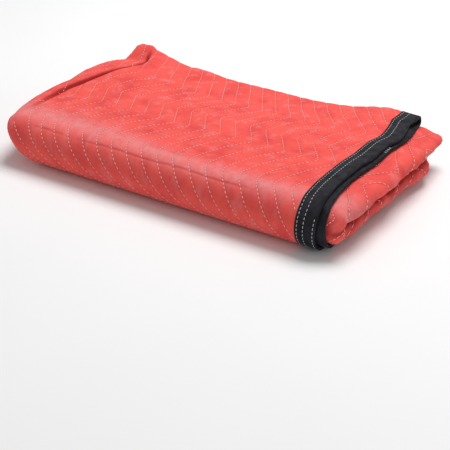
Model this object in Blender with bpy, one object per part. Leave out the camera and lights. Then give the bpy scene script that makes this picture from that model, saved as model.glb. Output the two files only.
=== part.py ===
# A quilted moving pad, folded for storage: one bound sheet of padding, folded in half across its
# width, in thirds along its length, and in half again about its front edge, twelve layers in all.
# Metres, +Z up. The folded pad lies on Z = 0 with its front fold towards -Y and its open end at +X.
#
# Every piece is first modelled flat, in sheet coordinates (u, v, w): u runs along the length from
# the bound end that shows, v across the width from the first fold, and w is the height above the
# sheet's middle, positive on the face that ends up outside. Three bends then fold it.

import math

import bmesh
import bpy
from mathutils import Vector

# The folded pad
padDepth = 0.435          # front fold to back fold
endEdgeX = 0.680          # the bound end that shows, along X
leftFoldX = -0.012        # outermost point of the fold at the left end
rightFoldX = 0.729        # outermost point of the inner fold that stands out at the right end
frontGap = 0.002          # radius of the space inside the front fold

# The cloth
clothLength = 2.032
layerPitch = 0.0072       # from one layer's middle to the next
clothHalf = 0.0027        # half the quilted thickness
edgeHalf = 0.0016         # half the thickness where the binding presses it
edgeFlat = 0.038          # how far the pressed strip reaches in
edgeRamp = 0.048          # where the full thickness is reached again

# The binding, a folded tape around each edge
bindingWidth = 0.037
bindingTape = 0.0008
bindingGap = 0.0003

# Quilting: rows across the length that zigzag with two lengths of leg
rowPitch = 0.0339
rowStart = 0.476          # u of one row at the corner that lies nearest the back
rowLean = 0.65            # sideways run for each unit of depth
stitchDepth = 0.0013

# Corners of the zigzag, by distance along the outer face from the back fold's axis
zigzagCorners = (
    # distance, direction of the leg that follows
    (-0.037, 1),
    (0.113, -1),
    (0.202, 1),
    (0.259, -1),
    (0.371, 1),
    (0.521, -1),
    (0.615, 1),
)

# Where the lofty pad stands higher or lower than a neat stack. Each lift is whole between two
# places along X and from one depth back, and fades out over its spreads.
looseness = (
    # what, from x, to x, from y, spread along x, spread along y, lift of the top
    ("back left corner puffs up", -0.020, 0.020, 0.390, 0.090, 0.070, 0.025),
    ("back edge sags", 0.300, 0.420, 0.385, 0.140, 0.100, -0.014),
    ("back right corner rises", 0.628, 0.740, 0.385, 0.120, 0.140, 0.004),
)

# How far the two end folds draw in, by distance from the back fold's axis
endPulls = (
    # distance, left end, right end
    (0.000, 0.014, 0.000),
    (0.060, 0.000, 0.000),
    (0.259, 0.000, 0.000),
    (0.3837, 0.016, 0.010),
)

# Places along X where every panel is divided, so that its layers follow each other
stations = (0.045, 0.085, 0.125, 0.165, 0.270, 0.380, 0.500)

# Distances from the back fold's axis where the rows lie closer together
nearBack = (0.030, 0.060)

# Flat parts that make up each half turn
hairpinParts = 4
endFoldParts = 5
frontFoldParts = 6

# Heights of the three panels' middles inside one half of the pad, and the radii of the end folds
slabHeight = 6 * layerPitch
topPanelHeight = slabHeight - layerPitch
bottomPanelHeight = layerPitch
innerPanelHeight = slabHeight / 2
leftFoldRadius = (topPanelHeight - bottomPanelHeight) / 2
rightFoldRadius = (innerPanelHeight - bottomPanelHeight) / 2
slack = layerPitch / 2 - clothHalf
outerReach = slabHeight - slack
leftAxisX = leftFoldX + leftFoldRadius + layerPitch / 2 + clothHalf
rightAxisX = rightFoldX - rightFoldRadius - layerPitch / 2 - clothHalf

# The same path as distances along the cloth
topEnd = endEdgeX - leftAxisX
bottomStart = topEnd + math.pi * leftFoldRadius
bottomEnd = bottomStart + rightAxisX - leftAxisX
innerStart = bottomEnd + math.pi * rightFoldRadius

# The hairpin at the back and the front fold
hairpinRadius = layerPitch / 2
hairpinHalf = math.pi / 2 * hairpinRadius
frontAxisY = frontGap + outerReach
frontAxisZ = frontGap + outerReach
leg = padDepth - frontAxisY - hairpinRadius - clothHalf
frontRun = math.pi * (frontGap + slabHeight / 2)
halfRun = 2 * leg + frontRun
halfWidth = hairpinHalf + halfRun


def clear_scene():
    for item in list(bpy.data.objects):
        bpy.data.objects.remove(item)


def fabric(name, colour, roughness):
    material = bpy.data.materials.new(name)
    material.use_nodes = True
    shader = material.node_tree.nodes["Principled BSDF"]
    shader.inputs["Base Color"].default_value = (*colour, 1.0)
    shader.inputs["Roughness"].default_value = roughness
    shader.inputs["Metallic"].default_value = 0.0
    return material


def spread(start, end, count):
    """Evenly spaced values from start up to, and without, end."""
    return [start + (end - start) * i / count for i in range(count)]


def turn(share, radius, parts):
    """A point along a half turn made of flat parts: across its start line, and forward of it."""
    k = min(parts - 1, int(share * parts))
    between = share * parts - k
    across = [math.cos(math.pi * i / parts) for i in (k, k + 1)]
    forward = [math.sin(math.pi * i / parts) for i in (k, k + 1)]
    return (
        radius * (across[0] + between * (across[1] - across[0])),
        radius * (forward[0] + between * (forward[1] - forward[0])),
    )


def fold_in_half(v, w):
    """The first fold: depth from the back fold's axis, and height from the pair's middle."""
    if abs(v) <= hairpinHalf:
        up, back = turn((v + hairpinHalf) / (2 * hairpinHalf), hairpinRadius + w, hairpinParts)
        return -back, up
    side = -1.0 if v > 0 else 1.0
    return abs(v) - hairpinHalf, side * (hairpinRadius + w)


def end_pull(q):
    """How far the left and right end folds draw in at one depth."""
    distance = min(max(min(q, halfRun - q), 0.0), endPulls[-1][0])
    for (near, leftNear, rightNear), (far, leftFar, rightFar) in zip(endPulls, endPulls[1:]):
        if distance <= far:
            share = (distance - near) / (far - near)
            break
    return leftNear + share * (leftFar - leftNear), rightNear + share * (rightFar - rightNear)


def fold_in_thirds(u, t, q):
    """The second fold: place along X, and height inside one half of the pad."""
    leftPull, rightPull = end_pull(q)
    leftX, rightX = leftAxisX + leftPull, rightAxisX - rightPull
    if u <= topEnd:
        return endEdgeX - u * (endEdgeX - leftX) / topEnd, topPanelHeight + t
    if u <= bottomStart:
        share = (u - topEnd) / (bottomStart - topEnd)
        up, left = turn(share, leftFoldRadius + t, endFoldParts)
        return leftX - left, innerPanelHeight + up
    if u <= bottomEnd:
        share = (u - bottomStart) / (bottomEnd - bottomStart)
        return leftX + share * (rightX - leftX), bottomPanelHeight - t
    if u <= innerStart:
        share = (u - bottomEnd) / (innerStart - bottomEnd)
        down, right = turn(share, rightFoldRadius + t, endFoldParts)
        return rightX + right, bottomPanelHeight + rightFoldRadius - down
    return rightX - (u - innerStart), innerPanelHeight + t


def fold_about_front(q, h):
    """The third fold: the stack of six layers turns under at the front."""
    radius = frontGap + h
    if q <= leg:
        return frontAxisY + leg - q, frontAxisZ + radius
    if q <= leg + frontRun:
        up, forward = turn((q - leg) / frontRun, radius, frontFoldParts)
        return frontAxisY - forward, frontAxisZ + up
    return frontAxisY + q - leg - frontRun, frontAxisZ - radius


def settle(x, y, z):
    """Loft and sag, which leave the underside flat."""
    height = 2 * frontAxisZ
    lift = 0.0
    for _, fromX, toX, fromY, spreadX, spreadY, rise in looseness:
        aside = max(fromX - x, 0.0, x - toX) / spreadX
        before = max(fromY - y, 0.0) / spreadY
        lift += rise * math.exp(-aside**2 - before**2)
    return x, y, z * (1 + lift / height)


def fold(u, v, w):
    q, t = fold_in_half(v, w)
    x, h = fold_in_thirds(u, t, q)
    y, z = fold_about_front(q, h)
    return Vector(settle(x, y, z))


def outer_distance(v):
    """Distance along the outside of the pad, for a depth across the sheet."""
    q = abs(v) - hairpinHalf
    if q <= leg:
        return q
    turned = min(q - leg, frontRun)
    return leg + turned / frontRun * math.pi * frontAxisZ + max(0.0, q - leg - frontRun)


def zigzag(distance):
    """Sideways shift of a quilting row, zero at the corner nearest the back."""
    total = 0.0
    here = zigzagCorners[1][0]
    if distance < here:
        return rowLean * (distance - here) * zigzagCorners[0][1]
    for (start, way), (end, _) in zip(zigzagCorners[1:], zigzagCorners[2:]):
        reach = min(distance, end)
        if reach > start:
            total += way * rowLean * (reach - start)
    return total


def half_thickness(u, v):
    """Half the sheet's thickness, pressed flat under the binding."""
    inward = min(u, clothLength - u, halfWidth - abs(v))
    share = min(1.0, max(0.0, (inward - edgeFlat) / (edgeRamp - edgeFlat)))
    return edgeHalf + share * (clothHalf - edgeHalf)


def sheet_columns():
    """Where the flat sheet is divided along its length: close together only in the folds."""
    last = endEdgeX - edgeRamp
    innerEndX = rightAxisX - (clothLength - innerStart)
    columns = [0.0, edgeFlat, edgeRamp]
    columns += [endEdgeX - x for x in reversed(stations)]
    columns += spread(topEnd, bottomStart, endFoldParts)
    columns += [bottomStart + x - leftAxisX for x in (leftAxisX,) + stations + (last,)]
    columns += spread(bottomEnd, innerStart, endFoldParts)
    inside = [x for x in (last,) + stations[::-1] if x > innerEndX + edgeRamp]
    columns += [innerStart + rightAxisX - x for x in [rightAxisX] + inside]
    return columns + [clothLength - edgeRamp, clothLength - edgeFlat, clothLength]


def half_rows():
    """Where it is divided across its width, from the first fold to the side edge."""
    corners = [distance for distance, _ in zigzagCorners[1:5]]
    onTop = [0.0, *nearBack, corners[0], (corners[0] + corners[1]) / 2, corners[1]]
    onTop += [corners[2], (corners[2] + corners[3]) / 2, corners[3]]
    aroundFront = spread(leg, leg + frontRun, frontFoldParts)
    under = spread(leg + frontRun, halfRun - corners[0], 3) + [halfRun - corners[0]]
    edge = [halfRun - nearBack[1], halfRun - edgeRamp, halfRun - edgeFlat, halfRun]
    aroundBack = [2 * hairpinHalf * i / hairpinParts for i in range(1, hairpinParts // 2)]
    return aroundBack + [hairpinHalf + q for q in onTop + aroundFront + under + edge]


def sheet_rows():
    half = half_rows()
    return [-v for v in reversed(half)] + [0.0] + half


def flat_sheet(bm, columns, rows):
    """A flat slab with a vertex at every column and row, two units thick for now."""
    nx, ny = len(columns) - 1, len(rows) - 1
    bmesh.ops.create_grid(bm, x_segments=nx, y_segments=ny, size=1.0)
    for vert in bm.verts:
        i = round((vert.co.x + 1) / 2 * nx)
        j = round((vert.co.y + 1) / 2 * ny)
        vert.co = Vector((columns[i], rows[j], -1.0))
    grown = bmesh.ops.extrude_face_region(bm, geom=bm.faces[:])
    for item in grown["geom"]:
        if isinstance(item, bmesh.types.BMVert):
            item.co.z = 1.0
    bmesh.ops.recalc_face_normals(bm, faces=bm.faces[:])


def outer_faces(bm, near, far, low, high):
    """The faces of the outer side between two rows and two columns."""
    found = []
    for face in bm.faces:
        centre = face.calc_center_median()
        if centre.z > 0.99 and near < centre.y < far and low < centre.x < high:
            found.append(face)
    return found


def cut_row_lines(bm, near, far, low, high):
    """Divides one strip of the outer face along the quilting rows and midway between them."""
    shiftNear, shiftFar = zigzag(outer_distance(near)), zigzag(outer_distance(far))
    reach = int(clothLength / rowPitch) * 2
    for k in range(-reach, reach):
        start = rowStart + k * rowPitch / 2
        uNear, uFar = start - shiftNear, start - shiftFar
        if max(uNear, uFar) < low or min(uNear, uFar) > high:
            continue
        faces = outer_faces(bm, near, far, low, high)
        edges = {edge for face in faces for edge in face.edges}
        verts = {vert for face in faces for vert in face.verts}
        bmesh.ops.bisect_plane(
            bm,
            geom=list(verts) + list(edges) + faces,
            dist=1e-5,
            plane_co=(uNear, near, 0.0),
            plane_no=Vector((far - near, uNear - uFar, 0.0)).normalized(),
        )


def stitch_press(u, v):
    """How far the stitches pull the outer face in at one place."""
    inward = min(1.0, max(0.0, (u - edgeFlat) / (edgeRamp - edgeFlat)))
    place = (u - rowStart + zigzag(outer_distance(v))) / rowPitch
    away = abs(place - round(place)) * 2
    return stitchDepth * (1 - away) * inward


def quilted_spans():
    """The stretches along the length whose outer face shows."""
    return ((edgeFlat, bottomStart), (bottomEnd - rowPitch, innerStart + rowPitch))


def split_squares(bm):
    """Cuts every four-sided face along the same slant in plan, so that layers never cross."""
    for face in [face for face in bm.faces if len(face.verts) == 4]:
        corners = list(face.verts)
        plan = [fold(vert.co.x, vert.co.y, 0.0) for vert in corners]
        first = min(range(4), key=lambda i: round(plan[i].x + plan[i].y, 6))
        bmesh.utils.face_split(face, corners[first], corners[(first + 2) % 4])


def make_quilt():
    """The padded sheet itself, one closed solid from edge to edge."""
    columns, rows = sheet_columns(), sheet_rows()
    bm = bmesh.new()
    flat_sheet(bm, columns, rows)
    outside = [v for v in rows if -hairpinHalf - leg - frontRun - 1e-6 < v <= -hairpinHalf + 1e-6]
    for low, high in quilted_spans():
        for near, far in zip(outside, outside[1:]):
            cut_row_lines(bm, near, far, low, high)
    split_squares(bm)
    bmesh.ops.triangulate(bm, faces=bm.faces[:], quad_method="BEAUTY", ngon_method="BEAUTY")
    for vert in bm.verts:
        u, v, side = vert.co
        w = side * half_thickness(u, v)
        shows = any(low - 1e-6 <= u <= high + 1e-6 for low, high in quilted_spans())
        if side > 0 and shows and outside[0] - 1e-6 <= v <= outside[-1] + 1e-6:
            w -= stitch_press(u, v)
        vert.co = fold(u, v, w)
    return bm


def binding_outline():
    """The tape's section around an edge: distance in from the edge, and height."""
    inner = edgeHalf + bindingGap
    outer = inner + bindingTape
    tip = -bindingGap - bindingTape
    return (
        (bindingWidth, outer),
        (tip, outer),
        (tip, -outer),
        (bindingWidth, -outer),
        (bindingWidth, -inner),
        (-bindingGap, -inner),
        (-bindingGap, inner),
        (bindingWidth, inner),
    )


def make_binding(stations, place):
    """A tape along the given stations; place turns (station, inward, height) into (u, v, w)."""
    bm = bmesh.new()
    ring = [bm.verts.new((stations[0], inward, height)) for inward, height in binding_outline()]
    ends = [bm.faces.new(ring)]
    for before, after in zip(stations, stations[1:]):
        grown = bmesh.ops.extrude_face_region(bm, geom=ends)
        if before != stations[0]:
            bmesh.ops.delete(bm, geom=ends, context="FACES_ONLY")
        ends = [item for item in grown["geom"] if isinstance(item, bmesh.types.BMFace)]
        moved = [item for item in grown["geom"] if isinstance(item, bmesh.types.BMVert)]
        bmesh.ops.translate(bm, verts=moved, vec=(after - before, 0.0, 0.0))
    bmesh.ops.recalc_face_normals(bm, faces=bm.faces[:])
    for vert in bm.verts:
        vert.co = place(*vert.co)
    split_squares(bm)
    bmesh.ops.triangulate(bm, faces=bm.faces[:], quad_method="BEAUTY", ngon_method="BEAUTY")
    for vert in bm.verts:
        vert.co = fold(*vert.co)
    return bm


def end_binding(atStart):
    """Along the whole width of one end of the sheet."""
    def place(station, inward, height):
        return (inward if atStart else clothLength - inward), station, height

    return make_binding(sheet_rows(), place)


def side_binding(side):
    """Along one long edge, between the two end bindings."""
    clear = bindingWidth + 2 * bindingGap
    inside = [u for u in sheet_columns() if edgeRamp - 1e-6 < u < clothLength - edgeRamp + 1e-6]

    def place(station, inward, height):
        return station, side * (halfWidth - inward), height

    return make_binding([clear] + inside + [clothLength - clear], place)


def add_object(name, bm, material):
    if bm.calc_volume(signed=True) < 0:
        bmesh.ops.reverse_faces(bm, faces=bm.faces[:])
    mesh = bpy.data.meshes.new(name)
    bm.to_mesh(mesh)
    bm.free()
    mesh.materials.append(material)
    piece = bpy.data.objects.new(name, mesh)
    bpy.context.scene.collection.objects.link(piece)
    return piece


def stand_on_origin(pieces):
    """Moves everything so that the origin is at the bottom centre of the whole pad."""
    points = [vert.co for piece in pieces for vert in piece.data.vertices]
    low = Vector([min(p[i] for p in points) for i in range(3)])
    high = Vector([max(p[i] for p in points) for i in range(3)])
    shift = Vector((-(low.x + high.x) / 2, -(low.y + high.y) / 2, -low.z))
    for piece in pieces:
        for vert in piece.data.vertices:
            vert.co += shift


def main():
    clear_scene()
    red = fabric("red_quilt", (0.78, 0.10, 0.09), 0.95)
    black = fabric("black_binding", (0.03, 0.03, 0.04), 0.85)
    pieces = [
        add_object("quilted_sheet", make_quilt(), red),
        add_object("binding_outer_end", end_binding(True), black),
        add_object("binding_inner_end", end_binding(False), black),
        add_object("binding_side_outer", side_binding(-1), black),
        add_object("binding_side_inner", side_binding(1), black),
    ]
    stand_on_origin(pieces)


main()
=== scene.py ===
from math import pi

import bmesh
import bpy
import numpy as np
from mathutils import Matrix, Vector


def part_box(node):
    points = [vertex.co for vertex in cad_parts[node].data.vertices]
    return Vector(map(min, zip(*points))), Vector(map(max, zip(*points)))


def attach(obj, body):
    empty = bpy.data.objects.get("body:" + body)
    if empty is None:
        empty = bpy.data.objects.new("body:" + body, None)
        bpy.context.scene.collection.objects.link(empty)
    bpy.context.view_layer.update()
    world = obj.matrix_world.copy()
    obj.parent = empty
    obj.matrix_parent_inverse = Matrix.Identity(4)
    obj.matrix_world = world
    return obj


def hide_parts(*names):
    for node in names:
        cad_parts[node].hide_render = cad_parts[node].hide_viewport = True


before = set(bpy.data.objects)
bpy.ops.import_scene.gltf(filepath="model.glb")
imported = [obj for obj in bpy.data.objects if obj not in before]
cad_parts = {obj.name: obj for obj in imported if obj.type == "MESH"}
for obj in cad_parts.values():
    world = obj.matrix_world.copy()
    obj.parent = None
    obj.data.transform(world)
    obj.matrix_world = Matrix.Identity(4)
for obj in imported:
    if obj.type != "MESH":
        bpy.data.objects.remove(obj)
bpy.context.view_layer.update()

# Sizes of the folded pad in metres. Those of the fold are the same as its solids have.
# u runs along the cloth from the bound end that shows, v across it from the first fold.
pad = {
    "depth": 0.435,
    "endEdgeX": 0.680,
    "leftFoldX": -0.012,
    "rightFoldX": 0.729,
    "frontGap": 0.002,
    "length": 2.032,
    "width": 1.829,
    "pitch": 0.0072,        # from one layer's middle to the next
    "half": 0.0027,         # half the quilted thickness
    "edgeHalf": 0.0016,     # the same where the binding presses it
    "edgeFlat": 0.041,      # how far in from the edge it is pressed, then where it is full again
    "edgeRamp": 0.050,
    "edgeRound": 0.004,
}

tape = {
    "width": 0.0375,
    "thick": 0.0008,
    "gap": 0.0003,
    "meshStep": 0.0085,
    "corner": 0.0012,              # how far the end tapes close over the cut corners
    "rows": (0.0045, 0.0165),      # stitch rows, from the tape's inner border
    "rowEnd": 0.003,
    "sideRowStart": 0.004,
    "shortRow": (0.428, 0.520),    # a third row, by distance from the back fold
    "shortRowInward": 0.0026,
    "stitch": 0.0052,
    "stitchStep": 0.0070,
    "stitchWide": 0.0012,
    "stitchTall": 0.0005,
    "bar": (0.149, 0.156, 0.163, 0.170),
    "barAcross": (-0.0008, 0.0074),
    "barWide": 0.0018,
    "barTall": 0.0008,
}

tapeTop = pad["edgeHalf"] + tape["gap"] + tape["thick"]

quilting = {
    "spacing": 0.0339,
    "lean": 0.65,
    "depth": 0.0011,
    "grooveWide": 0.0042,
    "waves": 0.00035,
    "stitch": 0.0067,
    "stitchStep": 0.0080,
    "stitchWide": 0.00145,
    "stitchTall": 0.0007,
    "floorClear": 0.0009,
    "rows": range(-22, 52),
}

# Corners of the quilting rows: distance along the outside from the back fold,
# where row zero lies along the cloth, and how far apart the rows lie there
rowCorners = (
    (-0.037, 0.5665, 0.0302), (0.1085, 0.4721, 0.0311), (0.2008, 0.5175, 0.0326), (0.2609, 0.4837, 0.0339),
    (0.300, 0.5135, 0.0341), (0.340, 0.5370, 0.0344), (0.3788, 0.5546, 0.0346), (0.528, 0.4576, 0.0346),
    (0.622, 0.5190, 0.0346), (0.678, 0.4825, 0.0346), (0.786, 0.5525, 0.0346), (0.957, 0.4415, 0.0346),
)

# The same for the folds at the right end, from the row there that shows best
armRow = 28
armCorners = (
    (-0.037, 1.437), (0.000, 1.452), (0.085, 1.476), (0.205, 1.4055), (0.290, 1.463), (0.415, 1.381),
    (0.530, 1.445), (0.622, 1.385), (0.678, 1.420), (0.786, 1.352), (0.957, 1.460),
)

# Towards the left the rows' last corner before the front lies higher up
cornerShift = {"most": 0.009, "at": 0.370, "spread": 0.045}

# The corners are rounded, most where the rows turn over the front's edge
cornerRound = {"least": 0.003, "more": 0.010, "at": 0.375, "spread": 0.028}

# Where the top stands higher or lower than a neat stack: a plateau along x and along y,
# how it fades beyond each, and the lift
looseness = (
    (-0.020, 0.036, 0.345, 0.500, 0.085, 0.095, 0.0225),     # back left corner puffs up
    (0.085, 0.135, 0.428, 0.500, 0.030, 0.030, -0.0045),     # and drops off behind
    (0.185, 0.205, 0.415, 0.500, 0.022, 0.040, 0.0025),      # a fold in the back edge
    (0.300, 0.420, 0.385, 0.500, 0.140, 0.100, -0.014),      # back edge sags
    (0.560, 0.690, 0.385, 0.500, 0.120, 0.140, -0.002),      # back right corner
    (0.585, 0.602, 0.400, 0.500, 0.034, 0.050, 0.0065),      # and a rise beside it
    (0.715, 0.760, 0.380, 0.500, 0.025, 0.050, -0.008),      # the inner fold stays low there
    (0.665, 0.695, 0.070, 0.340, 0.035, 0.050, 0.007),       # the bound end tips up
)

# The rolled left end has its own lift along the depth, with a pinch before the back corner
rollLift = (
    (0.000, 0.000), (0.100, 0.001), (0.200, 0.006), (0.300, 0.008), (0.350, 0.008),
    (0.385, 0.001), (0.405, 0.014), (0.420, 0.023),
)

# How far the end folds draw in, by distance from the back fold:
# left end of the upper and the lower half, then the right end of both
endPulls = (
    (0.000, 0.022, 0.018, 0.006, 0.062), (0.030, 0.018, 0.014, 0.004, 0.048),
    (0.050, 0.012, 0.010, 0.002, 0.014), (0.070, 0.006, 0.006, 0.000, -0.001),
    (0.090, 0.001, 0.002, -0.001, -0.005), (0.150, -0.007, 0.000, -0.001, 0.006),
    (0.205, -0.003, 0.004, 0.001, 0.006), (0.250, -0.009, 0.010, 0.002, 0.009),
    (0.300, -0.009, 0.026, 0.003, 0.012), (0.350, -0.001, 0.050, 0.006, 0.014),
    (0.384, 0.010, 0.066, 0.011, 0.016),
)

# Where the bound end lies, by distance from the back fold, and how much further its lower layer
# stands out
endLine = (
    (0.000, 0.673, 0.001), (0.019, 0.673, 0.004), (0.042, 0.670, 0.011), (0.070, 0.677, 0.009),
    (0.097, 0.682, 0.006), (0.120, 0.684, 0.002), (0.150, 0.676, 0.006), (0.187, 0.677, 0.006),
    (0.218, 0.678, 0.006), (0.255, 0.673, 0.008), (0.296, 0.671, 0.006), (0.341, 0.671, 0.008),
    (0.410, 0.677, 0.012), (0.480, 0.677, 0.016), (0.700, 0.677, 0.012), (0.800, 0.668, 0.006),
    (0.880, 0.652, 0.002),
)

slab = 6 * pad["pitch"]
topHeight, middleHeight, lowHeight = slab - pad["pitch"], slab / 2, pad["pitch"]
leftRadius = (topHeight - lowHeight) / 2
rightRadius = (middleHeight - lowHeight) / 2
faceReach = pad["pitch"] / 2 + pad["half"]
leftAxisX = pad["leftFoldX"] + leftRadius + faceReach
rightAxisX = pad["rightFoldX"] - rightRadius - faceReach
topEnd = pad["endEdgeX"] - leftAxisX
lowStart = topEnd + pi * leftRadius
lowEnd = lowStart + rightAxisX - leftAxisX
innerStart = lowEnd + pi * rightRadius
hairpinRadius = pad["pitch"] / 2
hairpinHalf = pi / 2 * hairpinRadius
frontRadius = pad["frontGap"] + slab - pad["pitch"] / 2 + pad["half"]
leg = pad["depth"] - frontRadius - faceReach
frontRun = pi * (pad["frontGap"] + slab / 2)
halfRun = 2 * leg + frontRun
halfWidth = hairpinHalf + halfRun
height = 2 * frontRadius

# The solids stand on the origin, so the folded shape is moved by this much
outerTip = pad["endEdgeX"] + tape["gap"] + tape["thick"]
originX = outerTip - float(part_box("binding_outer_end")[1][0])
originY = pad["depth"] / 2


def fromTable(at, table, column=1):
    return np.interp(at, [row[0] for row in table], [row[column] for row in table])


def smooth(x):
    x = np.clip(x, 0.0, 1.0)
    return x * x * (3 - 2 * x)


def outerDistance(v):
    q = np.abs(v) - hairpinHalf
    turned = np.clip(q - leg, 0.0, frontRun)
    under = np.maximum(q - leg - frontRun, 0.0)
    return np.minimum(q, leg) + turned / frontRun * pi * frontRadius + under


def depthAt(distance):
    turn = pi * frontRadius
    if distance <= leg:
        return hairpinHalf + distance
    if distance <= leg + turn:
        return hairpinHalf + leg + (distance - leg) / turn * frontRun
    return hairpinHalf + distance - turn + frontRun


def alongRow(row, distance):
    shift = cornerShift["most"] * smooth((row + 6) / 7) * smooth((10 - row) / 3)
    distance = distance + shift * fade(distance, cornerShift["at"], cornerShift["spread"])
    turning = fade(distance, cornerRound["at"], cornerRound["spread"])
    reach = cornerRound["least"] + cornerRound["more"] * turning
    atTop, atArm = 0.0, (row - armRow) * quilting["spacing"]
    samples = (-1.0, -0.5, 0.0, 0.5, 1.0)
    for share in samples:
        near = distance + share * reach
        onRow = fromTable(near, rowCorners, 1) + row * fromTable(near, rowCorners, 2)
        atTop = atTop + onRow / len(samples)
        atArm = atArm + fromTable(near, armCorners, 1) / len(samples)
    return atTop + smooth((row - 8) / 12) * (atArm - atTop)


def rowAt(u, distance):
    row = (u - fromTable(distance, rowCorners, 1)) / fromTable(distance, rowCorners, 2)
    for _ in range(30):
        row = row + 0.6 * (u - alongRow(row, distance)) / quilting["spacing"]
    return row


def fade(x, centre, spread):
    return np.exp(-((x - centre) / spread) ** 2)


crease = {
    "deep": 0.0080,
    "wide": 0.0044,
    "lean": 0.0040,       # how far the rolled side leans over it
    "crest": 0.0050,
}

# Where the crease beside the rolled left end runs: place along the depth, place along the pad
creasePath = (
    (0.000, 0.030), (0.060, 0.022), (0.130, 0.017), (0.185, 0.017), (0.227, 0.028), (0.256, 0.040),
    (0.292, 0.053), (0.318, 0.066), (0.345, 0.078), (0.370, 0.077), (0.400, 0.066), (0.435, 0.056),
)


def creaseX(y):
    return fromTable(y, creasePath)


def creaseAt(y):
    pinch = 1 + 0.8 * fade(y, 0.350, 0.035)
    return smooth((y - 0.02) / 0.16) * (1 - smooth((y - 0.395) / 0.030)) * pinch


def slipAt(x, y):
    # the cloth has slipped a little along the pad near the left end
    atBack = -0.013 * fade(x, 0.10, 0.07) * fade(y, 0.30, 0.08)
    return atBack + 0.007 * fade(x, 0.055, 0.040) * fade(y, 0.04, 0.06)


def liftAt(x, y):
    lift = np.zeros_like(x)
    for fromX, toX, fromY, toY, spreadX, spreadY, rise in looseness:
        aside = np.maximum(np.maximum(fromX - x, x - toX), 0.0) / spreadX
        beyond = np.maximum(np.maximum(fromY - y, y - toY), 0.0) / spreadY
        lift += rise * np.exp(-aside**2 - beyond**2)
    onTop = smooth((x - creaseX(y) + 0.006) / 0.014)
    crest = crease["crest"] * smooth((y - 0.22) / 0.06) * smooth((0.420 - y) / 0.03)
    crest = crest * fade(x, creaseX(y) - 0.012, 0.013)
    lift = onTop * lift + (1 - onTop) * (fromTable(y, rollLift) + crest)
    lift -= crease["deep"] * creaseAt(y) * fade(x, creaseX(y), crease["wide"])
    lift += 0.0012 * np.sin(x * 23 + y * 9) * np.sin(y * 21 + 1.0) * smooth(y / 0.1)
    return lift


# Beside the back fold the bound end stays open as a small loop
loop = {"reach": 0.050, "whole": 0.030, "fading": 0.080, "rise": 0.0022, "open": 0.0042}

# The lower half's right end bulges up towards the upper half's, most at the front
armBulge = {"most": 0.009, "atBack": 0.35, "more": 0.65, "start": 0.12, "fading": 0.10}

# How far the left end stands out at the front, and the right end's unevenness
ends = {"frontOut": 0.024, "ripple": 0.0012, "fineRipple": 0.0008}


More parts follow.
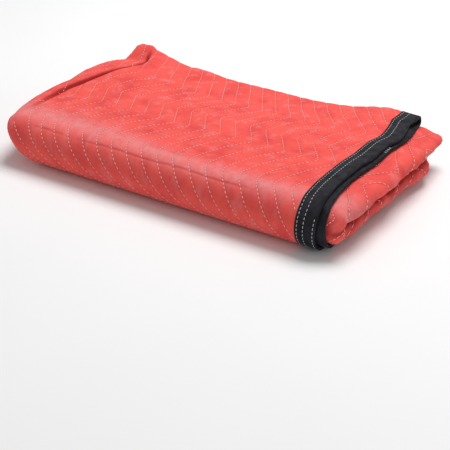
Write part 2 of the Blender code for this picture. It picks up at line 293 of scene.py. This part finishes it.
def foldCloth(u, v, w):
    # first in half: depth q from the back fold, height t from the pair's middle
    angle = np.clip(v / hairpinRadius, -pi / 2, pi / 2)
    radius = hairpinRadius + w
    q = np.abs(v) - hairpinHalf
    inPin = q < 0
    q = np.where(inPin, -radius * np.cos(angle), q)
    t = np.where(inPin, -radius * np.sin(angle), -np.sign(v) * radius)

    parted = np.exp(-(np.maximum(q, 0.0) / loop["reach"]) ** 2)
    parted = parted * (1 - smooth((u - loop["whole"]) / loop["fading"]))
    t = t + parted * (loop["rise"] - loop["open"] * np.sin(angle))

    # the ends draw in unevenly, and the lower of the two bound layers stands out further
    along = np.clip(np.minimum(q, halfRun - q), 0.0, leg)
    turned = outerDistance(np.abs(q) + hairpinHalf)
    under = smooth((q - leg) / frontRun)
    leftPull = (1 - under) * fromTable(along, endPulls, 1) + under * fromTable(along, endPulls, 2)
    rightPull = (1 - under) * fromTable(along, endPulls, 3) + under * fromTable(along, endPulls, 4)
    leftPull = leftPull - ends["frontOut"] * under * (1 - under) * smooth((along - 0.25) / 0.13)
    leftX, rightX = leftAxisX + leftPull, rightAxisX - rightPull
    rightX = rightX + ends["ripple"] * np.sin(q * 61 + 2.1 * under)
    rightX = rightX + ends["fineRipple"] * np.sin(q * 143 + 0.7)
    lower = smooth((v + hairpinHalf) / (2 * hairpinHalf))
    boundX = fromTable(turned, endLine, 1) + lower * fromTable(turned, endLine, 2)
    endX = pad["endEdgeX"] + (boundX - pad["endEdgeX"]) * np.clip(1 - u / 0.5, 0.0, 1.0)

    # then in thirds: place x along the pad, height h inside one half of it
    inTop, inLeft = u <= topEnd, (u > topEnd) & (u <= lowStart)
    inLow, inRight = (u > lowStart) & (u <= lowEnd), (u > lowEnd) & (u <= innerStart)
    turnLeft = np.clip((u - topEnd) / leftRadius, 0.0, pi)
    turnRight = np.clip((u - lowEnd) / rightRadius, 0.0, pi)
    frontward = smooth((along - armBulge["start"]) / armBulge["fading"])
    bulge = armBulge["most"] * under * (armBulge["atBack"] + armBulge["more"] * frontward)
    bulge = bulge * np.sin(turnRight) ** 2 * 2 * (1 - turnRight / pi)
    shareLow = (u - lowStart) / (lowEnd - lowStart)
    x = rightX - (u - innerStart)
    h = middleHeight + t
    x = np.where(inTop, endX - u * (endX - leftX) / topEnd, x)
    h = np.where(inTop, topHeight + t, h)
    x = np.where(inLeft, leftX - (leftRadius + t) * np.sin(turnLeft), x)
    h = np.where(inLeft, middleHeight + (leftRadius + t) * np.cos(turnLeft), h)
    x = np.where(inLow, leftX + shareLow * (rightX - leftX), x)
    h = np.where(inLow, lowHeight - t, h)
    x = np.where(inRight, rightX + (rightRadius + t) * np.sin(turnRight), x)
    h = np.where(inRight, lowHeight + rightRadius - (rightRadius + t) * np.cos(turnRight) - bulge, h)

    # last about the front
    radius = pad["frontGap"] + h
    bend = np.clip(pi * (q - leg) / frontRun, 0.0, pi)
    y = frontRadius + leg - q
    y = np.where(q > leg, frontRadius - radius * np.sin(bend), y)
    y = np.where(q > leg + frontRun, frontRadius + q - leg - frontRun, y)
    z = frontRadius + radius * np.cos(bend)

    x = x + slipAt(x, y)

    # the rolled side of the crease leans over it, and loft and sag leave the underside flat
    raised = z * (1 + liftAt(x, y) / height)
    leaning = creaseAt(y) * smooth((z / height - 0.55) / 0.3)
    x = x + crease["lean"] * leaning * fade(x, creaseX(y) - 0.0068, 0.0042)
    return np.stack([x - originX, y - originY, raised], axis=-1)


def newMaterial(name):
    material = bpy.data.materials.new(name)
    material.use_nodes = True
    nodes, links = material.node_tree.nodes, material.node_tree.links
    return material, nodes, links, nodes["Principled BSDF"]


def addAttribute(nodes, name):
    attribute = nodes.new("ShaderNodeAttribute")
    attribute.attribute_name = name
    return attribute


def addNoise(nodes, links, source, scale, detail=3.0, roughness=0.5, stretch=None):
    if stretch:
        mapping = nodes.new("ShaderNodeMapping")
        mapping.inputs["Scale"].default_value = stretch
        links.new(source, mapping.inputs["Vector"])
        source = mapping.outputs["Vector"]
    noiseNode = nodes.new("ShaderNodeTexNoise")
    noiseNode.inputs["Scale"].default_value = scale
    noiseNode.inputs["Detail"].default_value = detail
    noiseNode.inputs["Roughness"].default_value = roughness
    links.new(source, noiseNode.inputs["Vector"])
    return noiseNode.outputs["Fac"]


def addRamp(nodes, links, source, stops):
    ramp = nodes.new("ShaderNodeValToRGB")
    elements = ramp.color_ramp.elements
    while len(elements) < len(stops):
        elements.new(0.5)
    for element, (position, colour) in zip(elements, stops):
        element.position = position
        element.color = (*colour, 1.0)
    links.new(source, ramp.inputs["Fac"])
    return ramp.outputs["Color"]


def mixColours(nodes, links, amount, first, second, blend="MIX"):
    mix = nodes.new("ShaderNodeMix")
    mix.data_type = "RGBA"
    mix.blend_type = blend
    for socket, value in ((mix.inputs[0], amount), (mix.inputs[6], first), (mix.inputs[7], second)):
        if isinstance(value, (int, float)):
            socket.default_value = value
        elif isinstance(value, tuple):
            socket.default_value = (*value, 1.0)
        else:
            links.new(value, socket)
    return mix.outputs[2]


def addBump(nodes, links, shader, layers):
    normal = None
    for heightSocket, strength, distance in layers:
        bump = nodes.new("ShaderNodeBump")
        bump.inputs["Strength"].default_value = strength
        bump.inputs["Distance"].default_value = distance
        links.new(heightSocket, bump.inputs["Height"])
        if normal:
            links.new(normal, bump.inputs["Normal"])
        normal = bump.outputs["Normal"]
    links.new(normal, shader.inputs["Normal"])


# The darkest colour is painted shade along the rows, in the creases, in the crevice and low on the arms; the
# pale one serves both random wear and painted sheen along the front's upper edge
redCloth = {
    "bright": (0.940, 0.108, 0.090),
    "deep": (0.730, 0.052, 0.056),
    "paleWearAndSheen": (0.830, 0.275, 0.280),
    "groove": (0.360, 0.024, 0.024),
}


def makeRedCloth():
    material, nodes, links, shader = newMaterial("redNonWoven")
    place = addAttribute(nodes, "clothPlace").outputs["Vector"]
    # painted shade: darker along the quilted rows, in the creases, in the crevice between the halves and low
    # on the right end's folds
    line = addAttribute(nodes, "paintedShade").outputs["Fac"]
    # painted sheen, partly wear: a pale band where the front's upper edge catches the light
    sheenAndWear = addAttribute(nodes, "sheenAndWear").outputs["Color"]
    cloudy = addNoise(nodes, links, place, 19.0, 5.0, 0.62)
    base = addRamp(nodes, links, cloudy, ((0.24, redCloth["deep"]), (0.54, redCloth["bright"])))
    blotch = addNoise(nodes, links, place, 42.0, 5.0, 0.68)
    wornMask = addRamp(nodes, links, blotch, ((0.52, (0, 0, 0)), (0.72, (0.55, 0.55, 0.55))))
    base = mixColours(nodes, links, wornMask, base, redCloth["paleWearAndSheen"])
    patches = addNoise(nodes, links, place, 55.0, 8.0, 0.78)
    patches = addRamp(nodes, links, patches, ((0.34, (0.30, 0.30, 0.30)), (0.60, (1, 1, 1))))
    # the pale band along the front's upper edge, broken into patches: painted sheen, partly rubbed wear
    haze = mixColours(nodes, links, 1.0, sheenAndWear, patches, "MULTIPLY")
    base = mixColours(nodes, links, haze, base, redCloth["paleWearAndSheen"])
    fibre = addNoise(nodes, links, place, 900.0, 3.0, 0.7, (1.0, 2.6, 1.0))
    flecks = addRamp(nodes, links, fibre, ((0.35, (0.82, 0.82, 0.82)), (0.66, (1.12, 1.12, 1.12))))
    base = mixColours(nodes, links, 1.0, base, flecks, "MULTIPLY")
    # the painted shade darkens the cloth towards the darkest red
    base = mixColours(nodes, links, line, base, redCloth["groove"])
    links.new(base, shader.inputs["Base Color"])
    shader.inputs["Roughness"].default_value = 0.88
    shader.inputs["Specular IOR Level"].default_value = 0.15
    shader.inputs["Sheen Weight"].default_value = 0.16
    shader.inputs["Sheen Roughness"].default_value = 0.45
    shader.inputs["Sheen Tint"].default_value = (1.0, 0.55, 0.52, 1.0)
    felt = addNoise(nodes, links, place, 420.0, 4.0, 0.6)
    pucker = addNoise(nodes, links, place, 75.0, 3.0, 0.5, (1.0, 0.55, 1.0))
    addBump(nodes, links, shader, ((pucker, 0.35, 0.0016), (felt, 0.30, 0.0006), (fibre, 0.25, 0.0003)))
    return material


def makeTapeCloth():
    material, nodes, links, shader = newMaterial("blackTape")
    place = addAttribute(nodes, "clothPlace").outputs["Vector"]
    turn = nodes.new("ShaderNodeMapping")
    turn.inputs["Rotation"].default_value = (0.0, 0.0, pi / 4)
    links.new(place, turn.inputs["Vector"])
    ribs = nodes.new("ShaderNodeTexWave")
    ribs.inputs["Scale"].default_value = 260.0
    ribs.inputs["Distortion"].default_value = 0.6
    links.new(turn.outputs["Vector"], ribs.inputs["Vector"])
    dust = addNoise(nodes, links, place, 60.0, 5.0, 0.65)
    base = addRamp(nodes, links, dust, ((0.36, (0.009, 0.009, 0.012)), (0.66, (0.036, 0.036, 0.044))))
    shade = addRamp(nodes, links, ribs.outputs["Fac"], ((0.0, (0.7, 0.7, 0.7)), (1.0, (1.25, 1.25, 1.25))))
    base = mixColours(nodes, links, 1.0, base, shade, "MULTIPLY")
    links.new(base, shader.inputs["Base Color"])
    shader.inputs["Roughness"].default_value = 0.76
    shader.inputs["Specular IOR Level"].default_value = 0.12
    shader.inputs["Sheen Weight"].default_value = 0.03
    shader.inputs["Sheen Roughness"].default_value = 0.4
    grain = addNoise(nodes, links, place, 700.0, 2.0, 0.5)
    addBump(nodes, links, shader, ((ribs.outputs["Fac"], 0.5, 0.0004), (grain, 0.3, 0.0003)))
    return material


def makeThread(name, colour, dark):
    material, nodes, links, shader = newMaterial(name)
    coordinates = nodes.new("ShaderNodeTexCoord")
    twist = addNoise(nodes, links, coordinates.outputs["Object"], 900.0, 2.0, 0.5)
    base = addRamp(nodes, links, twist, ((0.35, dark), (0.65, colour)))
    links.new(base, shader.inputs["Base Color"])
    shader.inputs["Roughness"].default_value = 0.6
    shader.inputs["Sheen Weight"].default_value = 0.2
    addBump(nodes, links, shader, ((twist, 0.4, 0.0003),))
    return material


def addObject(name, data):
    thing = bpy.data.objects.new(name, data)
    bpy.context.scene.collection.objects.link(thing)
    return thing


def finishPiece(name, bm, material, attributes=()):
    mesh = bpy.data.meshes.new(name)
    bm.to_mesh(mesh)
    bm.free()
    mesh.materials.append(material)
    mesh.shade_smooth()
    for label, kind, field, values in attributes:
        layer = mesh.attributes.new(label, kind, "POINT")
        layer.data.foreach_set(field, np.asarray(values, dtype=np.float32).ravel())
    print(name, len(mesh.polygons), "faces")
    return addObject(name, mesh)


def thicken(bm):
    # a flat grid becomes two, joined along the border, and the second one lies at z = 1
    grown = bmesh.ops.extrude_face_region(bm, geom=bm.faces[:])
    for item in grown["geom"]:
        if isinstance(item, bmesh.types.BMVert):
            item.co.z = 1.0
    bmesh.ops.recalc_face_normals(bm, faces=bm.faces[:])


# How closely the sheet is divided: across the rows, then along them
meshing = {
    "besideRow": (0.0, 0.0022, 0.0065, 0.0118, 0.01695),
    "shownRows": (range(-22, 9), range(25, 32)),
    "creaseRows": range(3, 6),
    "creaseParts": 16,
    "creaseLine": 4.5,       # the place among the rows that follows the crease
    "creaseSpread": 1.8,
    "top": 0.0084,
    "edge": 0.0030,
    "frontCrease": 0.0012,
    "under": 0.0095,
    "hidden": 0.030,
}


def spread(start, end, step):
    count = max(1, round((end - start) / step))
    return [start + (end - start) * i / count for i in range(count)]


def sheetColumns():
    # counted in quilting rows, so that the stitched grooves fall on mesh lines
    between = [offset / quilting["spacing"] for offset in meshing["besideRow"]]
    between += [1 - share for share in reversed(between[1:-1])]
    parts = meshing["creaseParts"]
    columns = []
    for row in quilting["rows"]:
        if row in meshing["creaseRows"]:
            columns += [row + part / parts for part in range(parts)]
        else:
            shows = any(row in shown for shown in meshing["shownRows"])
            columns += [row + share for share in (between if shows else between[:1])]
    return columns


def sheetRows(hiddenStep=meshing["hidden"]):
    corners = [corner[0] for corner in rowCorners if 0 < corner[0] < leg]
    pin = [hairpinHalf * i / 4 for i in range(1, 4)]
    shown = []
    for near, far in zip([0.0] + corners, corners + [leg]):
        shown += spread(near, far, meshing["top"])
    # closer together where a crease runs along the front
    creaseFrom, creaseTo = leg + frontRun * 0.08, leg + frontRun * 0.25
    shown += spread(leg, creaseFrom, meshing["edge"])
    shown += spread(creaseFrom, creaseTo, meshing["frontCrease"])
    shown += spread(creaseTo, leg + frontRun, frontRun / 18)
    hidden = spread(0.0, leg, hiddenStep) + spread(leg, leg + frontRun, frontRun / 10)
    edge = [halfRun - pad["edgeRamp"], halfRun - pad["edgeFlat"], halfRun]
    shown += spread(leg + frontRun, edge[0], meshing["under"]) + edge
    hidden += spread(leg + frontRun, edge[0], hiddenStep * 1.25) + edge
    outer = pin + [hairpinHalf + q for q in shown]
    inner = pin + [hairpinHalf + q for q in hidden]
    return [-v for v in reversed(outer)] + [0.0] + inner


def meshLine(row, distance):
    # near the rolled left end the mesh follows its crease, not the rows
    y = frontRadius + leg - np.clip(distance, 0.0, leg)
    leftX = leftAxisX + fromTable(np.clip(distance, 0.0, leg), endPulls, 1)
    x = creaseX(y) - slipAt(creaseX(y), y)
    creaseU = (pad["endEdgeX"] - x) * topEnd / (pad["endEdgeX"] - leftX)
    followed = meshing["creaseLine"]
    shift = creaseU - alongRow(followed, distance)
    return alongRow(row, distance) + shift * fade(row, followed, meshing["creaseSpread"])


def halfThickness(u, v):
    inward = np.minimum(np.minimum(u, pad["length"] - u), halfWidth - np.abs(v))
    share = smooth((inward - pad["edgeFlat"]) / (pad["edgeRamp"] - pad["edgeFlat"]))
    rounded = 0.65 + 0.35 * smooth(inward / pad["edgeRound"])
    return (pad["edgeHalf"] + share * (pad["half"] - pad["edgeHalf"])) * rounded, share


def besideRow(u, v):
    distance = outerDistance(v)
    row = np.round(rowAt(u, distance))
    return np.abs(u - alongRow(row, distance)) / (1 + quilting["lean"] ** 2) ** 0.5


# A faint crease that runs along the front's upper edge
frontLine = {"distance": 0.4090, "wander": 0.0012, "wide": 0.0020, "deep": 0.0009}


def frontCrease(u, v):
    strength = smooth((u - 0.12) / 0.05) * (1 - smooth((u - 0.60) / 0.03))
    strength = strength * (0.8 - 0.65 * fade(u, 0.520, 0.035))
    line = frontLine["distance"] + frontLine["wander"] * np.sin(u * 40)
    return strength * fade(outerDistance(v), line, frontLine["wide"]) * (v < 0)


# Small folds gather where the right end bends round the front
gather = {
    "distance": 0.460,
    "spread": 0.050,
    "u": 1.436,
    "spreadU": 0.022,
    "softU": 1.450,
    "softSpreadU": 0.045,
    "deep": 0.0030,
    "softDeep": 0.0013,
}


def puckers(u, v):
    distance = outerDistance(v)
    gathered = fade(distance, gather["distance"], gather["spread"]) * fade(u, gather["u"], gather["spreadU"])
    soft = fade(u, gather["softU"], gather["softSpreadU"]) * smooth((leg + 0.15 - distance) / 0.1)
    fine = np.abs(np.sin(v * 190 + u * 150 + 1.2 * np.sin(v * 70)))
    slow = 0.5 + 0.5 * np.sin(v * 48 - u * 60 + 1.5 * np.sin(u * 45))
    return (gather["deep"] * gathered * fine + gather["softDeep"] * soft * slow) * (v < 0)


# Painted shade: how dark the cloth is painted along the rows, in the creases, in the crevice and low on the
# arms; and how pale the band where the front's edge is rubbed and catches the light (painted sheen)
shading = {
    "row": 0.20,
    "rowWide": 0.0018,
    "crease": 0.9,
    "creaseMost": 0.95,
    "frontCrease": 0.55,
    "crevice": 0.80,
    "creviceTall": 0.0065,
    "arms": 0.22,
    "sheenAndWear": 0.90,
    "sheenAndWearAt": 0.390,       # by distance from the back fold, and how far it spreads
    "sheenAndWearWide": 0.023,
}


# painted shade: the cloth is painted darker in the quilted rows' grooves, in the creases, in the crevice
# between the halves and low on the right end's folds
def paintedShadePlaces(u, v, points, beside, share):
    x, y, z = points[:, 0] + originX, points[:, 1] + originY, points[:, 2]
    dark = shading["row"] * np.exp(-(beside / shading["rowWide"]) ** 2) * share
    inCrease = creaseAt(y) * fade(x, creaseX(y) - 0.0022, 0.0040) * (z > 0.6 * height) * (u < lowStart)
    dark = np.maximum(dark, np.minimum(shading["crease"] * inCrease, shading["creaseMost"]))
    dark = np.maximum(dark, shading["frontCrease"] * frontCrease(u, v - 0.0008))
    nearCrevice = fade(z, 0.5 * height, shading["creviceTall"]) * ((u > 1.36) & (u < 1.47)) * (y > 0.012)
    dark = np.maximum(dark, shading["crevice"] * nearCrevice)
    shaded = smooth((0.064 - z) / 0.030) * smooth((u - 1.34) / 0.03) * (u < 1.49) * smooth((y - 0.03) / 0.04)
    return np.maximum(dark, shading["arms"] * shaded)


# a pale band of painted sheen where the front's upper edge catches the light, partly rubbed wear
def sheenAndWearPlaces(u, v):
    # towards the left it lies further up the top and is wider
    leftward = smooth((u - 0.28) / 0.25)
    at = shading["sheenAndWearAt"] - 0.022 * leftward
    return shading["sheenAndWear"] * fade(outerDistance(v), at, shading["sheenAndWearWide"] + 0.012 * leftward)


def makeQuiltedSheet(material):
    columns, rows = np.array(sheetColumns()), np.array(sheetRows())
    bm = bmesh.new()
    nx, ny = len(columns) - 1, len(rows) - 1
    bmesh.ops.create_grid(bm, x_segments=nx, y_segments=ny, size=1.0)
    square = np.array([vert.co for vert in bm.verts])
    v = rows[np.rint((square[:, 1] + 1) / 2 * ny).astype(int)]
    u = meshLine(columns[np.rint((square[:, 0] + 1) / 2 * nx).astype(int)], outerDistance(v))
    for vert, flatU, flatV in zip(bm.verts, u, v):
        vert.co = (flatU, flatV, 0.0)
    for cut, side in ((0.0, -1), (pad["length"], 1)):
        bmesh.ops.bisect_plane(
            bm, geom=bm.verts[:] + bm.edges[:] + bm.faces[:], dist=1e-6,
            plane_co=(cut, 0, 0), plane_no=(side, 0, 0), clear_outer=True,
        )
    thicken(bm)
    bmesh.ops.reverse_faces(bm, faces=bm.faces[:])
    flat = np.array([vert.co for vert in bm.verts], dtype=float)
    u, v, outside = flat[:, 0], flat[:, 1], flat[:, 2] > 0.5
    half, share = halfThickness(u, v)
    beside = besideRow(u, v)
    groove = quilting["depth"] * np.exp(-(beside / quilting["grooveWide"])) * share
    waves = quilting["waves"] * np.sin(u * 160 + v * 90) * np.sin(v * 210 - u * 70) * share
    underneath = outerDistance(v) > leg + pi * frontRadius * 0.9
    press = groove + np.where(underneath, 0.0, np.abs(waves) * 0.8)
    press = press + (frontLine["deep"] * frontCrease(u, v) + puckers(u, v)) * share
    w = np.where(outside, half - press, -half + 0.25 * groove)
    points = foldCloth(u, v, w)
    for vert, point in zip(bm.verts, points):
        vert.co = point
    # the painted shade and the painted sheen along the front's upper edge go to the material as attributes
    dark = paintedShadePlaces(u, v, points, beside, share)
    attributes = (
        ("clothPlace", "FLOAT_VECTOR", "vector", np.stack([u, v, 0 * u], -1)),
        ("paintedShade", "FLOAT", "value", dark * outside),
        ("sheenAndWear", "FLOAT", "value", sheenAndWearPlaces(u, v) * outside),
    )
    return finishPiece("quiltedSheet", bm, material, attributes)


def tapeSection():
    # from one face's inner border, round the cloth's edge, to the other's: inward, height
    middle = pad["edgeHalf"] + tape["gap"] + tape["thick"] / 2
    section = [(tape["width"], middle), (tape["width"] * 0.7, middle), (tape["width"] * 0.35, middle)]
    section += [(0.004, middle), (0.0015, middle)]
    tip = -tape["gap"] - tape["thick"] / 2
    section += [(tip * 0.6, middle * 0.95), (tip, middle * 0.6), (tip, 0.0)]
    return section + [(inward, -height) for inward, height in reversed(section[:-1])]


def makeTape(name, stations, toCloth, material):
    # a strip across the section and along the edge, given its thickness, then folded with the cloth
    section = tapeSection()
    bm = bmesh.new()
    nx, ny = len(stations) - 1, len(section) - 1
    bmesh.ops.create_grid(bm, x_segments=nx, y_segments=ny, size=1.0)
    thicken(bm)
    flat, around = [], []
    for vert in bm.verts:
        i = round((vert.co.x + 1) / 2 * nx)
        j = round((vert.co.y + 1) / 2 * ny)
        before, after = section[max(j - 1, 0)], section[min(j + 1, ny)]
        run = Vector((after[0] - before[0], after[1] - before[1])).normalized()
        push = tape["thick"] / 2 * (1 if vert.co.z > 0.5 else -1)
        inward, rise = section[j][0] - run.y * push, section[j][1] + run.x * push
        flat.append(toCloth(stations[i], inward, rise))
        around.append((stations[i], j * 0.006, 0.0))
    flat = np.array(flat, dtype=float)
    points = foldCloth(flat[:, 0], flat[:, 1], flat[:, 2])
    for vert, point in zip(bm.verts, points):
        vert.co = point
    if bm.calc_volume(signed=True) < 0:
        bmesh.ops.reverse_faces(bm, faces=bm.faces[:])
    attributes = (("clothPlace", "FLOAT_VECTOR", "vector", around),)
    return finishPiece(name, bm, material, attributes)


def endTape(name, atStart, material):
    # past the sheet's sides the tape's two faces close over the cut corners
    over = tape["corner"]
    past = [halfWidth + share * over for share in (0.3, 0.7, 1.0)]
    stations = [-v for v in reversed(past)] + sheetRows(tape["meshStep"]) + past

    def toCloth(station, inward, rise):
        closed = 0.92 * (max(abs(station) - halfWidth, 0.0) / over) ** 2
        return (inward if atStart else pad["length"] - inward), station, rise * (1 - closed)

    return makeTape(name, stations, toCloth, material)


def sideTape(name, side, material):
    clear = tape["width"] + 0.0002
    stations = spread(clear, pad["length"] - clear, tape["meshStep"]) + [pad["length"] - clear]

    def toCloth(station, inward, rise):
        return station, side * (halfWidth - inward), rise

    return makeTape(name, stations, toCloth, material)


def addStitch(bm, start, end, up, wide, tall):
    # one stitch is a thin pointed bead that lies on the cloth
    run = end - start
    if run.length < 1e-5:
        return
    along = run.normalized()
    across = up.cross(along).normalized()
    up = along.cross(across)
    turn = Matrix((along, across, up)).transposed().to_4x4()
    size = Matrix.Diagonal((run.length / 2, wide / 2, tall, 1.0))
    move = Matrix.Translation((start + end) / 2)
    bmesh.ops.create_icosphere(bm, subdivisions=1, radius=1.0, matrix=move @ turn @ size)


def layStitches(bm, runs, wide, tall):
    # each run: u, v of its start, u, v of its end, height on the cloth
    fromU, fromV, toU, toV, w = np.array(runs).T
    starts, ends = foldCloth(fromU, fromV, w), foldCloth(toU, toV, w)
    above = foldCloth(fromU, fromV, w + 0.001 * np.sign(w))
    for start, end, over in zip(starts, ends, above):
        # none where the cloth lies on the floor
        if min(start[2], end[2]) > quilting["floorClear"]:
            addStitch(bm, Vector(start), Vector(end), Vector(over - start), wide, tall)


def quiltRowStretches():
    # the parts of the outer face that show: u from and to, distance from and to
    pinBack = -hairpinHalf
    whole = float(outerDistance(halfWidth)) - tape["width"]
    front = leg + pi * frontRadius
    return (
        (tape["width"] + 0.002, topEnd, pinBack, front),
        (topEnd, lowStart, pinBack, whole),
        (lowEnd - 0.012, innerStart + 0.060, pinBack, whole),
    )


def makeQuiltStitches(material):
    step = quilting["stitchStep"] / (1 + quilting["lean"] ** 2) ** 0.5
    long = quilting["stitch"] / quilting["stitchStep"]
    w = pad["half"] - quilting["depth"] + 0.0001
    runs = []
    for lowU, highU, fromD, toD in quiltRowStretches():
        distances = np.arange(fromD, toD, step)
        for row in quilting["rows"]:
            us = alongRow(row, distances)
            for d, u, nextU in zip(distances, us, us[1:]):
                if lowU <= u < highU and lowU <= nextU:
                    runs.append((u, -depthAt(d), u + (nextU - u) * long, -depthAt(d + step * long), w))
    bm = bmesh.new()
    layStitches(bm, runs, quilting["stitchWide"], quilting["stitchTall"])
    return finishPiece("quiltStitches", bm, material)


def makeTapeStitches(material):
    step, long = tape["stitchStep"], tape["stitch"]
    reach = float(outerDistance(halfWidth)) - tape["rowEnd"]
    runs = []
    for fromBorder in tape["rows"]:
        inward = tape["width"] - fromBorder
        for side in (-1, 1):
            for d in np.arange(-hairpinHalf * 0.8, reach, step):
                runs.append((inward, side * depthAt(d), inward, side * depthAt(d + long), tapeTop))
    # a short row beside the edge at the front, and further back a bar tack on the lower layer
    inward = tape["shortRowInward"]
    for d in np.arange(*tape["shortRow"], step):
        runs.append((inward, -depthAt(d), inward, -depthAt(d + long), tapeTop))
    barFrom, barTo = tape["barAcross"]
    bar = [(barFrom, depthAt(d), barTo, depthAt(d), -tapeTop) for d in tape["bar"]]
    bm = bmesh.new()
    layStitches(bm, runs, tape["stitchWide"], tape["stitchTall"])
    layStitches(bm, bar, tape["barWide"], tape["barTall"])
    return finishPiece("tapeStitches", bm, material)


def makeSideStitches(material):
    # every second stitch, as these rows hardly show
    clear = tape["width"] + tape["sideRowStart"]
    runs = []
    for side in (-1, 1):
        for fromBorder in tape["rows"]:
            v = side * (halfWidth - tape["width"] + fromBorder)
            for face in (-1, 1):
                for u in np.arange(clear, pad["length"] - clear, tape["stitchStep"] * 2):
                    runs.append((u, v, u + tape["stitch"], v, face * tapeTop))
    bm = bmesh.new()
    layStitches(bm, runs, tape["stitchWide"], tape["stitchTall"])
    return finishPiece("sideStitches", bm, material)


studio = {
    "floorSize": 14.0,
    "floorColour": (0.95, 0.95, 0.95),
    "worldColour": (1.0, 1.0, 1.0),
    "worldStrength": 0.36,
}


def makeStudio():
    material, nodes, links, shader = newMaterial("paleFloor")
    coordinates = nodes.new("ShaderNodeTexCoord")
    faint = addNoise(nodes, links, coordinates.outputs["Object"], 1.5)
    light = studio["floorColour"]
    dark = tuple(c * 0.985 for c in light)
    links.new(addRamp(nodes, links, faint, ((0.4, dark), (0.6, light))), shader.inputs["Base Color"])
    shader.inputs["Roughness"].default_value = 0.9
    bm = bmesh.new()
    bmesh.ops.create_grid(bm, x_segments=1, y_segments=1, size=studio["floorSize"] / 2)
    floor = finishPiece("floor", bm, material)

    world = bpy.data.worlds.new("studioWorld")
    bpy.context.scene.world = world
    world.use_nodes = True
    sky = world.node_tree.nodes["Background"]
    sky.inputs["Color"].default_value = (*studio["worldColour"], 1.0)
    sky.inputs["Strength"].default_value = studio["worldStrength"]

    lights = (
        # name, place, aimed at, size, power
        ("overhead", (0.15, 1.10, 2.9), (0.0, 0.05, 0.05), 1.9, 79.0),
        ("rightFill", (2.0, -0.2, 0.8), (0.3, 0.0, 0.05), 1.2, 2.4),
    )
    for name, at, aim, size, power in lights:
        data = bpy.data.lights.new(name, "AREA")
        data.shape = "DISK"
        data.size = size
        data.energy = power
        lamp = addObject(name, data)
        lamp.location = at
        lamp.rotation_euler = (Vector(aim) - Vector(at)).to_track_quat("-Z", "Y").to_euler()


view = {
    "azimuth": 32.4,
    "elevation": 29.7,
    "pixels": 1003.0,        # focal length in pixels of the frame
    "frame": 450,
    "sensor": 36.0,
    "eye": (1.2955, -1.2360, 0.8481),
}


def makeCamera():
    data = bpy.data.cameras.new("camera")
    data.sensor_width = view["sensor"]
    data.lens = view["pixels"] / view["frame"] * view["sensor"]
    data.clip_end = 100.0
    camera = addObject("camera", data)
    eye = view["eye"]
    camera.location = (eye[0] - originX, eye[1] - originY, eye[2])
    azimuth, elevation = np.radians(view["azimuth"]), np.radians(view["elevation"])
    camera.rotation_euler = (pi / 2 - elevation, 0.0, azimuth)
    bpy.context.scene.camera = camera


def main():
    makeCamera()
    makeStudio()
    bpy.context.scene.view_settings.view_transform = "Standard"
    red = makeRedCloth()
    black = makeTapeCloth()
    pinkThread = makeThread("paleThread", (1.0, 0.53, 0.49), (0.97, 0.45, 0.42))
    whiteThread = makeThread("whiteThread", (0.78, 0.80, 0.82), (0.55, 0.57, 0.60))
    sheet = makeQuiltedSheet(red)
    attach(sheet, "root")
    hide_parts("quilted_sheet")
    tapes = (
        (endTape("tapeOuterEnd", True, black), "binding_outer_end"),
        (endTape("tapeInnerEnd", False, black), "binding_inner_end"),
        (sideTape("tapeSideOuter", -1, black), "binding_side_outer"),
        (sideTape("tapeSideInner", 1, black), "binding_side_inner"),
    )
    for piece, node in tapes:
        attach(piece, "root")
        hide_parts(node)
    threads = [makeQuiltStitches(pinkThread), makeTapeStitches(whiteThread)]
    threads.append(makeSideStitches(whiteThread))
    for piece, slot in zip(threads, ("quilt", "binding", "binding")):
        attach(piece, "root")


main()
